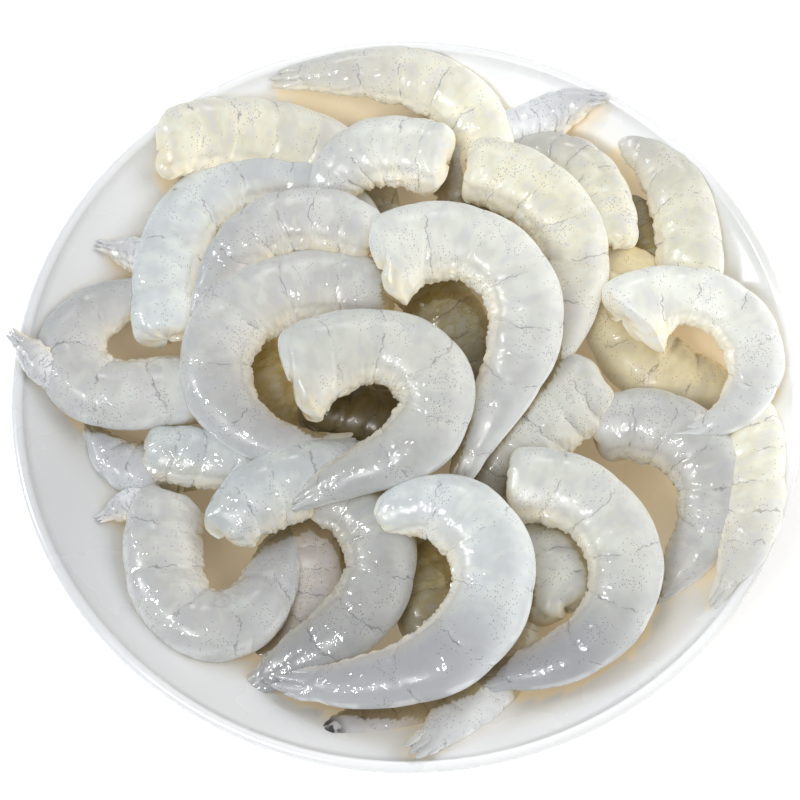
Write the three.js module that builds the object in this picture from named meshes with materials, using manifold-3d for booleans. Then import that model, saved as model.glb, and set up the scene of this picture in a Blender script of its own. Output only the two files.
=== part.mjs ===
// A white dish heaped with raw, peeled whiteleg shrimp.
// Millimetres, +Z up. The origin is the middle of the dish's foot, on the surface that it stands on.
// -Y is the side that faces the viewer, +X is the viewer's right.
import * as THREE from "three";
import { mergeVertices } from "three/addons/utils/BufferGeometryUtils.js";
import Module from "manifold-3d";

// Dish: a shallow coupe, turned in one piece, with a flat middle and a curved wall.
const RIM_RADIUS = 100;
const RIM_HEIGHT = 34;
const FLOOR_HEIGHT = 5;
const FLOOR_RADIUS = 38;
const WALL = 3.6;
const LIP_RADIUS = 1.5;
const FOOT_OUTER = 50;
const FOOT_INNER = 46;
const FOOT_RECESS = 2;
const FOOT_BEVEL = 1;
// How much further out the wall's outside is than its inside at the same place in the curve.
const OUTER_SPREAD = 1.6;
const LIP_STEPS = 4;
const DISH_SEGMENTS = 36;
const WALL_STEPS = 4;

// Shrimp body, as shares of its girth, the depth from back to belly at the thickest segment.
const SIDE_THICKNESS = 0.74;
const BELLY_SHARE = 0.94;
const BACK_BROADENING = 0.14;
// Where each of the six tail segments begins, as a share of the length, and where the tail's stub begins.
const SEGMENT_STARTS = [0, 0.12, 0.26, 0.41, 0.56, 0.71, 0.92];
const SEGMENT_NOTCH = 0.06;
// Half depth of the body along its length, as a share of half its girth.
const TAPER = [
  [0, 0.94],
  [0.12, 1],
  [0.45, 1],
  [0.6, 0.92],
  [0.75, 0.74],
  [0.88, 0.52],
  [1, 0.36],
];
const NECK_LENGTH = 0.2;
// The share of the length over which the slant of the cut and the torn flap fade out.
const CUT_LENGTH = 0.2;
// The share of the slant that is lost at the back and at the belly, where the cut's corners are blunt.
const CORNER_LOSS = 0.4;
const CAP_SCALE = 0.62;
const CAP_DEPTH = 1.6;
// The tail's stub as shares of the body where it begins: [how deep and wide it is, what a full fan adds].
const STUB_MIDDLE = { depth: [0.75, 0.35], side: [0.75, -0.25] };
const STUB_END = { depth: [0.42, 0.5], side: [0.4, -0.1] };
const SPINE_STEPS = 60;
// How far the shape that dents the heap from below goes past the dish's rim and below its foot.
const BED_MARGIN = 8;
const BED_DEPTH = 20;

// Pieces that touch stay this far apart, and edges shorter than the second value are merged.
const CONTACT_GAP = 0.5;
const SMALLEST_EDGE = 0.4;

// Faces round a body: fully seen pieces, partly covered ones, and those that only show through gaps.
const OPEN_SIDES = 9;
const COVERED_SIDES = 8;
const BURIED_SIDES = 7;

// One entry for each shrimp, from the bottom of the heap to the top: each is dented by those after it.
// at: the middle of the cut head end. z: the body's height at its head, middle and tail end.
// heading: degrees from +X at the head end. bend: degrees turned in each third of the length.
// girth: depth from back to belly. neck: how wide the head end is. lean: degrees by which the back is lifted.
// slant: how far the cut runs forward towards the belly, as a share of the depth. flap: how much of its depth
// the belly gains at the head end, where flesh was torn. fan: the tail fan's size.
// Those with sides left out are fully seen.
const SHRIMP = [
  {
    node: "floor_left", tone: "dark", sides: BURIED_SIDES, at: [-40, 22], z: [11.8, 11.8, 11.8],
    heading: -70, length: 72, bend: [40, 70, 30], girth: 18, neck: 0.8,
  },
  {
    node: "floor_right", tone: "dark", sides: BURIED_SIDES, at: [38, -22], z: [11.8, 11.8, 11.8],
    heading: 110, length: 72, bend: [40, 70, 30], girth: 18, neck: 0.8,
  },
  {
    node: "floor_front", tone: "dark", sides: BURIED_SIDES, at: [-30, -40], z: [11.8, 11.8, 11.8],
    heading: 10, length: 66, bend: [-20, 40, 40], girth: 17, neck: 0.8,
  },
  {
    node: "front_left_under", tone: "pink", sides: BURIED_SIDES, at: [-26, -32], z: [16, 14, 13],
    heading: -75, length: 42, bend: [-20, -30, -55], girth: 17, neck: 0.8,
  },
  {
    node: "front_under", tone: "dark", sides: BURIED_SIDES, at: [-2, -33], z: [19, 18, 16],
    heading: -65, length: 44, bend: [-5, -15, 60], girth: 18, neck: 0.8,
  },
  {
    node: "back_under", tone: "clear", sides: BURIED_SIDES, at: [16, 44], z: [18, 20, 25],
    heading: 60, length: 60, bend: [60, 50, 20], girth: 18,
  },
  {
    node: "back_right_under", tone: "dark", sides: BURIED_SIDES, at: [65, 32], z: [17, 17, 17],
    heading: 75, length: 45, bend: [25, 10, 55], girth: 18,
  },
  {
    node: "left_wall_tail", tone: "clear", sides: COVERED_SIDES, at: [-53, -16], z: [13, 17, 21],
    heading: 145, length: 33, bend: [65, -65, -35], girth: 15, neck: 0.8, lean: 10, fan: 0.6,
  },
  {
    node: "dark_tail", tone: "pink", sides: COVERED_SIDES, at: [18, -66], z: [14, 18, 26],
    heading: -125, length: 49, bend: [-15, -35, 30], girth: 14, neck: 0.8, lean: 10, fan: 1,
  },
  {
    node: "front_tail", tone: "grey", sides: COVERED_SIDES, at: [28, -54], z: [17, 21, 34],
    heading: -100, length: 48, bend: [-20, -10, -5], girth: 16, neck: 0.8, lean: 10, fan: 1,
  },
  {
    node: "back_right_tail", tone: "clear", sides: COVERED_SIDES, at: [24, 77], z: [22, 28, 35],
    heading: 3, length: 27, bend: [10, 10, -35], girth: 13, neck: 0.8, lean: 10, fan: 0.6,
  },
  {
    node: "left_edge_tail", tone: "clear", sides: BURIED_SIDES, at: [-88, 4], z: [29, 34, 38],
    heading: 170, length: 13, bend: [-25, -10, 10], girth: 9.5, fan: 1,
  },
  {
    node: "left_tip", tone: "clear", sides: BURIED_SIDES, at: [-66, 39], z: [23, 24, 27],
    heading: 153, length: 13, bend: [10, 10, 0], girth: 10, fan: 1,
  },
  {
    node: "front_left_tip", tone: "clear", sides: BURIED_SIDES, at: [-67, -25], z: [19, 20, 22],
    heading: 205, length: 11, bend: [5, 5, 0], girth: 8, fan: 1,
  },
  {
    node: "front_left_ring", tone: "grey", sides: COVERED_SIDES, at: [-60, -26], z: [18, 22, 14],
    heading: -100, length: 79, bend: [20, 155, 0], girth: 21, neck: 0.95, lean: 18,
  },
  {
    node: "right_wall", tone: "cream", sides: COVERED_SIDES, at: [86, -4], z: [26, 30, 31],
    heading: -80, length: 54, bend: [-12, -13, -25], girth: 17, lean: 20, fan: 0.5,
  },
  {
    node: "right_under", tone: "cream", sides: BURIED_SIDES, at: [59, 42], z: [22, 20, 20],
    heading: -110, length: 60, bend: [30, 65, -5], girth: 22,
  },
  {
    node: "inner_right", tone: "white", sides: COVERED_SIDES, at: [39, -55], z: [22, 21, 16],
    heading: 115, length: 44, bend: [-5, 30, 50], girth: 20, neck: 1,
  },
  {
    node: "back_left_block", tone: "cream", sides: COVERED_SIDES, at: [-63.5, 68], z: [33, 27, 18],
    heading: 30, length: 69, bend: [-30, -20, -50], girth: 20, neck: 0.95, lean: 12, slant: 0.7,
  },
  {
    node: "back_arch", tone: "cream", sides: COVERED_SIDES, at: [18, 63], z: [20, 29, 32],
    heading: 60, length: 72, bend: [85, 40, 0], girth: 17.5, neck: 1.1, lean: 15, fan: 0.8,
  },
  {
    node: "back_right_curl", tone: "cream", sides: COVERED_SIDES, at: [74, 27], z: [25, 28, 22],
    heading: 95, length: 63, bend: [-5, 35, 45], girth: 18, neck: 0.95, lean: 18,
  },
  {
    node: "left_edge_curl", tone: "grey", sides: COVERED_SIDES, at: [-44, 5], z: [16, 28, 18],
    heading: 175, length: 84, bend: [35, -165, -30], girth: 20, lean: 10,
  },
  {
    node: "front_left_stub", tone: "blue", sides: COVERED_SIDES, at: [-65, -14], z: [23, 23, 18],
    heading: -10, length: 50, bend: [5, 0, -50], girth: 16.5,
  },
  {
    node: "middle_right", tone: "white", sides: COVERED_SIDES, at: [49, 3], z: [25, 24, 18],
    heading: -150, length: 48, bend: [5, 30, 30], girth: 22, neck: 1.05,
  },
  {
    node: "centre_under_back", tone: "dark", sides: BURIED_SIDES, at: [-2, 39], z: [23, 24, 20],
    heading: -40, length: 48, bend: [-20, 10, -60], girth: 18,
  },
  {
    node: "centre_under", tone: "dark", sides: BURIED_SIDES, at: [-25, 1], z: [22, 25, 20],
    heading: -20, length: 42, bend: [0, 15, -10], girth: 18,
  },
  {
    node: "right_ring", tone: "grey", sides: COVERED_SIDES, at: [49, -8], z: [22, 26, 21],
    heading: 20, length: 69, bend: [-60, -75, -25], girth: 19.5, lean: 12, fan: 0.4,
  },
  {
    node: "back_block", tone: "white", sides: COVERED_SIDES, at: [53, 42], z: [30, 29, 26],
    heading: 90, length: 44, bend: [20, 35, 40], girth: 15.5, neck: 1, fan: 0.4,
  },
  {
    node: "front_speckled", tone: "grey", sides: COVERED_SIDES, at: [-23, -29], z: [27, 28, 20],
    heading: 5, length: 73, bend: [-95, -65, 10], girth: 18.5, neck: 0.8, fan: 0.5,
  },
  {
    node: "left_arch", tone: "blue", sides: COVERED_SIDES, at: [-62, 18], z: [25, 25, 24],
    heading: 100, length: 90, bend: [-30, -70, -45], girth: 18.5, neck: 0.95,
  },
  {
    node: "back_lobes", tone: "white", at: [9, 65], z: [31, 30, 24],
    heading: 165, length: 40, bend: [5, 55, 45], girth: 20, neck: 1.1,
  },
  {
    node: "torn_end", tone: "blue", sides: COVERED_SIDES, at: [-45, -37], z: [27, 28, 18],
    heading: 55, length: 60, bend: [-35, -20, -60], girth: 20, neck: 0.75,
  },
  {
    node: "big_left_curl", tone: "grey", at: [-5, 26], z: [29, 29, 29],
    heading: 155, length: 102, bend: [50, 100, 75], girth: 20, fan: 0.4,
  },
  {
    node: "back_right_arc", tone: "cream", at: [17, 62.3], z: [31, 32, 24],
    heading: -10, length: 72, bend: [-40, -55, -10], girth: 19.5, neck: 1, lean: 5, fan: 0.3,
  },
  {
    node: "back_left_tail", tone: "grey", at: [-10, 42], z: [33, 33, 28],
    heading: 150, length: 55, bend: [30, 50, 15], girth: 17, fan: 0.4,
  },
  {
    node: "right_hook", tone: "white", at: [56, 20], z: [32, 34, 32],
    heading: 40, length: 72, bend: [-65, -80, -75], girth: 16, neck: 1.3, lean: 5, slant: -0.1, flap: 0.6,
    fan: 0.6,
  },
  {
    node: "front_right_ring", tone: "white", at: [27, -25], z: [31, 33, 26],
    heading: 0, length: 88, bend: [-60, -85, -40], girth: 19, neck: 0.95, lean: 5, flap: 0.3, fan: 1,
  },
  {
    node: "front_ring", tone: "blue", at: [-5, -37], z: [36, 37, 26],
    heading: 35, length: 100, bend: [-120, -80, -30], girth: 21, neck: 0.55, lean: 5, fan: 0.8,
  },
  {
    node: "back_ring", tone: "white", at: [-5, 30], z: [41, 41, 30],
    heading: 45, length: 91.5, bend: [-85, -85, 10], girth: 20.5, neck: 1.2, slant: 0.7, fan: 0.4,
  },
  {
    node: "centre_ring", tone: "white", at: [-27.6, -1.6], z: [42, 42, 33],
    heading: 45, length: 88, bend: [-60, -150, 10], girth: 20.5, neck: 1.2, slant: 0.75, flap: 0.12, fan: 0.4,
  },
];
const USUAL = { sides: OPEN_SIDES, neck: 0.9, lean: 0, slant: 0, flap: 0, fan: 0 };

// Flesh: translucent white with a grey, blue, cream or pink cast, and the shaded flesh low in the heap.
const FLESH = {
  white: 0xe9ebe8,
  grey: 0xd3d3d2,
  blue: 0xd3dde0,
  cream: 0xe6e2cf,
  pink: 0xd8cbc2,
  clear: 0xcfd0d0,
  dark: 0xa39b83,
};
const GLAZE = 0xf4f4f6;

const wasm = await Module();
wasm.setup();

// The height of the dish's inner surface at a distance from its middle.
function dishFloor(radius) {
  const lipStart = RIM_RADIUS - 2 * LIP_RADIUS;
  const climb = Math.max(0, (radius - FLOOR_RADIUS) / (lipStart - FLOOR_RADIUS));
  return FLOOR_HEIGHT + (RIM_HEIGHT - LIP_RADIUS - FLOOR_HEIGHT) * climb * climb;
}

// A turned solid from its half outline, listed anticlockwise from the bottom of the axis.
function turned(outline) {
  const points = outline.map(([r, z]) => new THREE.Vector2(r, z));
  return new THREE.LatheGeometry(points, DISH_SEGMENTS).rotateX(Math.PI / 2);
}

function wallRadii() {
  const width = RIM_RADIUS - 2 * LIP_RADIUS - FLOOR_RADIUS;
  return Array.from({ length: WALL_STEPS + 1 }, (_, i) => FLOOR_RADIUS + (width * i) / WALL_STEPS);
}

function dishGeometry() {
  const inner = wallRadii().map((r) => [r, dishFloor(r)]);
  const outer = inner.filter(([r]) => r > FOOT_OUTER).map(([r, z]) => [r + OUTER_SPREAD, z - WALL]);
  const lip = Array.from({ length: LIP_STEPS }, (_, i) => (Math.PI * i) / LIP_STEPS).map((turn) => [
    RIM_RADIUS + LIP_RADIUS * (Math.cos(turn) - 1),
    RIM_HEIGHT + LIP_RADIUS * (Math.sin(turn) - 1),
  ]);
  const foot = [
    [0, FOOT_RECESS],
    [FOOT_INNER - FOOT_BEVEL, FOOT_RECESS],
    [FOOT_INNER, 0],
    [FOOT_OUTER, 0],
    [FOOT_OUTER + FOOT_BEVEL, FOOT_RECESS],
  ];
  return turned([...foot, ...outer, ...lip, ...inner.reverse(), [0, FLOOR_HEIGHT]]);
}

// Everything below the dish's inner surface and rim, raised by the contact gap, which dents what lies on it.
function dishBed() {
  const reach = RIM_RADIUS + BED_MARGIN;
  const floor = wallRadii().map((r) => [r, dishFloor(r) + CONTACT_GAP]);
  const outline = [
    [0, -BED_DEPTH],
    [reach, -BED_DEPTH],
    [reach, RIM_HEIGHT + CONTACT_GAP],
    [RIM_RADIUS - 2 * LIP_RADIUS - CONTACT_GAP, RIM_HEIGHT + CONTACT_GAP],
    ...floor.slice(0, -1).reverse(),
    [0, FLOOR_HEIGHT + CONTACT_GAP],
  ];
  return turned(outline);
}

function interpolate(table, s) {
  const next = table.findIndex(([at]) => at >= s);
  if (next <= 0) return table[next === 0 ? 0 : table.length - 1][1];
  const [[s0, v0], [s1, v1]] = [table[next - 1], table[next]];
  return v0 + ((v1 - v0) * (s - s0)) / (s1 - s0);
}

// The body's middle line: it turns by the entry's bends, and rises and falls through its three heights.
function spineOf(shrimp) {
  const [first, second, third] = shrimp.bend;
  const bends = [[0, first], [1 / 6, first], [1 / 2, second], [5 / 6, third], [1, third]];
  const step = shrimp.length / SPINE_STEPS;
  const points = [new THREE.Vector2(...shrimp.at)];
  let angle = shrimp.heading;
  for (let i = 0; i < SPINE_STEPS; i++) {
    const turn = (interpolate(bends, (i + 0.5) / SPINE_STEPS) * 3) / SPINE_STEPS;
    const direction = THREE.MathUtils.degToRad(angle + turn / 2);
    const move = new THREE.Vector2(Math.cos(direction), Math.sin(direction)).multiplyScalar(step);
    points.push(points[i].clone().add(move));
    angle += turn;
  }
  const [head, middle, tail] = shrimp.z;
  return points.map((p, i) => {
    const t = i / SPINE_STEPS;
    const z = head * (1 - t) * (1 - 2 * t) + middle * 4 * t * (1 - t) + tail * t * (2 * t - 1);
    return new THREE.Vector3(p.x, p.y, z);
  });
}

// The point at a share of the spine, and the directions to the body's back, to its side and along it.
function frameAt(spine, shrimp, s) {
  const inside = Math.min(Math.max(s, 0), 1);
  const i = Math.min(Math.floor(inside * SPINE_STEPS), SPINE_STEPS - 1);
  const along = spine[i + 1].clone().sub(spine[i]).normalize();
  const point = spine[i].clone().lerp(spine[i + 1], inside * SPINE_STEPS - i);
  point.addScaledVector(along, (s - inside) * shrimp.length);
  const hand = shrimp.bend[0] + shrimp.bend[1] + shrimp.bend[2] > 0 ? 1 : -1;
  const up = new THREE.Vector3(0, 0, 1);
  const out = along.clone().cross(up).normalize().multiplyScalar(hand);
  const over = out.clone().cross(along).normalize().multiplyScalar(hand);
  const lean = THREE.MathUtils.degToRad(shrimp.lean);
  const back = out.clone().multiplyScalar(Math.cos(lean)).addScaledVector(over, Math.sin(lean));
  const side = over.clone().multiplyScalar(Math.cos(lean)).addScaledVector(out, -Math.sin(lean));
  return { point, back, side, along };
}

// The body's rings: a rounded cut end, a notch where each segment begins, its full middle, and the tail's
// stub, which is pinched or spread into a fan. Pieces low in the heap have no notches.
function stationsOf(shrimp, swell) {
  const neckAt = (s) => shrimp.neck + (1 - shrimp.neck) * Math.min(1, s / NECK_LENGTH);
  const ring = (s, notch) => {
    const depth = (interpolate(TAPER, s) * neckAt(s) * (1 - notch) * shrimp.girth) / 2;
    return { s, depth: depth + swell, side: depth * SIDE_THICKNESS + swell };
  };
  const first = ring(0, 0);
  const capStart = -(CAP_DEPTH + swell) / shrimp.length;
  const stations = [{ s: capStart, depth: first.depth * CAP_SCALE, side: first.side * CAP_SCALE }, first];
  SEGMENT_STARTS.slice(0, -1).forEach((start, i) => {
    if (i > 0 && shrimp.sides !== BURIED_SIDES) stations.push(ring(start, SEGMENT_NOTCH));
    stations.push(ring((start + SEGMENT_STARTS[i + 1]) / 2, 0));
  });
  const stubStart = SEGMENT_STARTS[SEGMENT_STARTS.length - 1];
  const stub = ring(stubStart, SEGMENT_NOTCH);
  const share = ([plain, fanned]) => plain + fanned * shrimp.fan;
  const stubRing = (s, scales) => {
    return { s, depth: stub.depth * share(scales.depth), side: stub.side * share(scales.side) };
  };
  stations.push(stub, stubRing((1 + stubStart) / 2, STUB_MIDDLE));
  stations.push(stubRing(1 + swell / shrimp.length, STUB_END));
  return stations;
}

// A closed loft through the rings, with a flat cap at each end. swell makes it larger all round.
function shrimpGeometry(shrimp, swell) {
  const spine = spineOf(shrimp);
  const stations = stationsOf(shrimp, swell);
  const { sides } = shrimp;
  const positions = [];
  const index = [];
  for (const { s, depth, side } of stations) {
    const frame = frameAt(spine, shrimp, s);
    const cut = Math.min(1, Math.max(0, 1 - s / CUT_LENGTH));
    const belly = BELLY_SHARE * (1 + shrimp.flap * cut);
    for (let k = 0; k < sides; k++) {
      const angle = (2 * Math.PI * k) / sides;
      const outward = Math.cos(angle) * depth * (Math.cos(angle) < 0 ? belly : 1);
      const sideways = Math.sin(angle) * side * (1 + BACK_BROADENING * Math.cos(angle));
      const slant = shrimp.slant * cut * (1 - CORNER_LOSS * Math.cos(angle) ** 2);
      const p = frame.point.clone().addScaledVector(frame.back, outward);
      p.addScaledVector(frame.side, sideways).addScaledVector(frame.along, outward * slant);
      positions.push(p.x, p.y, p.z);
    }
  }
  for (let r = 0; r < stations.length - 1; r++) {
    for (let k = 0; k < sides; k++) {
      const a = r * sides + k;
      const b = r * sides + ((k + 1) % sides);
      index.push(a, a + sides, b, b, a + sides, b + sides);
    }
  }
  const last = (stations.length - 1) * sides;
  for (let k = 1; k < sides - 1; k++) {
    index.push(0, k, k + 1);
    index.push(last, last + k + 1, last + k);
  }
  const geometry = new THREE.BufferGeometry();
  geometry.setAttribute("position", new THREE.Float32BufferAttribute(positions, 3));
  geometry.setIndex(index);
  return geometry;
}

// A solid from a closed mesh, turned right side out where its faces point inwards.
function solidFrom(geometry) {
  const bare = geometry.clone();
  bare.deleteAttribute("normal");
  bare.deleteAttribute("uv");
  const merged = mergeVertices(bare);
  const corners = new Uint32Array(merged.index.array);
  const vertProperties = merged.attributes.position.array;
  const solid = (triVerts) => new wasm.Manifold(new wasm.Mesh({ numProp: 3, vertProperties, triVerts }));
  const made = solid(corners);
  return made.volume() > 0 ? made : solid(corners.reverse());
}

function geometryFrom(solid) {
  const mesh = solid.getMesh();
  const geometry = new THREE.BufferGeometry();
  geometry.setAttribute("position", new THREE.BufferAttribute(mesh.vertProperties, 3));
  geometry.setIndex(new THREE.BufferAttribute(mesh.triVerts, 1));
  geometry.computeVertexNormals();
  return geometry;
}

function largestPiece(solid) {
  return solid.decompose().reduce((a, b) => (b.volume() > a.volume() ? b : a));
}

function makeDish() {
  const glaze = new THREE.MeshStandardMaterial({ color: GLAZE, roughness: 0.18, metalness: 0 });
  const dish = new THREE.Mesh(dishGeometry(), glaze);
  dish.name = "dish";
  return dish;
}

// Each shrimp is soft: what lies on it and the dish below it press their shape into it.
function makeHeap() {
  const heap = new THREE.Group();
  const shrimps = SHRIMP.map((entry) => ({ ...USUAL, ...entry }));
  const bed = solidFrom(dishBed());
  const swollen = shrimps.map((shrimp) => solidFrom(shrimpGeometry(shrimp, CONTACT_GAP)));
  shrimps.forEach((shrimp, i) => {
    const whole = solidFrom(shrimpGeometry(shrimp, 0)).subtract(bed);
    const dented = swollen.slice(i + 1).reduce((body, above) => body.subtract(above), whole);
    const color = FLESH[shrimp.tone];
    const flesh = new THREE.MeshStandardMaterial({ color, roughness: 0.25, metalness: 0 });
    const mesh = new THREE.Mesh(geometryFrom(largestPiece(dented).simplify(SMALLEST_EDGE)), flesh);
    mesh.name = `shrimp_${shrimp.node}`;
    heap.add(mesh);
  });
  return heap;
}

const servedDish = new THREE.Group();
servedDish.add(makeDish(), makeHeap());
export default servedDish;
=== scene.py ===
import math

import bmesh
import bpy
import numpy as np
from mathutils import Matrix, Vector


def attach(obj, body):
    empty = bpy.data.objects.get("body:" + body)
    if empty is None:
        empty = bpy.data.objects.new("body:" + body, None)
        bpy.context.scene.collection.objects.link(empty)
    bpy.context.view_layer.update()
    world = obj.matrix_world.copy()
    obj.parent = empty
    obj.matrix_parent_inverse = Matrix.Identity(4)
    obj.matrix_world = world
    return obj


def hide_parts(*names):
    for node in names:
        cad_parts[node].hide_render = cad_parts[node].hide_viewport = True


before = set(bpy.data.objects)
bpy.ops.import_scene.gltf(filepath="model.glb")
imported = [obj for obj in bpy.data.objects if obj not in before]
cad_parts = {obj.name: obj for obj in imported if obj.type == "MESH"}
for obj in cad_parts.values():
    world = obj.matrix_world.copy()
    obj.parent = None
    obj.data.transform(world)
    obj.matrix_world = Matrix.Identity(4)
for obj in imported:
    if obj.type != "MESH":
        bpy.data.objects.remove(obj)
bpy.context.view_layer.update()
MM = 0.001

# Camera: the photo's own angle
ELEVATION = math.radians(67.6146)
CAMERA_AIM = Vector((-1.825, -3.951, 34.0)) * MM
CAMERA_DISTANCE = 0.7
CAMERA_LENS = 124.8676

camera_data = bpy.data.cameras.new("camera")
camera_data.lens = CAMERA_LENS
camera_data.clip_start, camera_data.clip_end = 0.05, 20
camera = bpy.data.objects.new("camera", camera_data)
away = Vector((0, -math.cos(ELEVATION), math.sin(ELEVATION)))
camera.location = CAMERA_AIM + away * CAMERA_DISTANCE
camera.rotation_euler = (-away).to_track_quat("-Z", "Y").to_euler()
bpy.context.scene.collection.objects.link(camera)
bpy.context.scene.camera = camera

# The dish and the shrimp, in millimetres
RIM_RADIUS = 100
RIM_HEIGHT = 34
FLOOR_HEIGHT = 5
FLOOR_RADIUS = 38
WALL = 3.6
LIP_RADIUS = 1.5
FOOT_OUTER = 50
FOOT_INNER = 46
FOOT_RECESS = 2
OUTER_SPREAD = 1.6
WALL_START_RADIUS = 54
BORE_RADIUS = RIM_RADIUS - 2 * LIP_RADIUS

# Shares of the girth, and of the length where they are places along the body
SIDE_THICKNESS = 0.74
BELLY_SHARE = 0.94
BACK_BROADENING = 0.14
SEGMENT_STARTS = (0, 0.12, 0.26, 0.41, 0.56, 0.71, 0.92)
TAPER = ((0, 0.94), (0.12, 1), (0.45, 1), (0.6, 0.92), (0.75, 0.74), (0.88, 0.52), (1, 0.36))
NECK_LENGTH = 0.2
CUT_LENGTH = 0.2
CORNER_LOSS = 0.4
STUB_MIDDLE = ((0.75, 0.35), (0.75, -0.25))
STUB_END = ((0.42, 0.5), (0.4, -0.1))
STUB_SHARE = 0.94

SPINE_STEPS = 60
CONTACT_GAP = 0.07


def shrimp(node, tone, at, z, heading, length, bend, girth, **changes):
    """A shrimp's form as in the CAD, and its looks where they differ from the usual ones."""
    usual = dict(neck=0.9, lean=0, slant=0, flap=0, fan=0, hidden=False, specks=0.35, glitter=0.35, light=1.0,
                 tail=0.6, sunk=0.0, deepest=1.5, tips=0.0)
    return {**usual, "node": node, "tone": tone, "at": at, "z": z, "heading": heading, "length": length,
            "bend": bend, "girth": girth, **changes}


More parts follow.
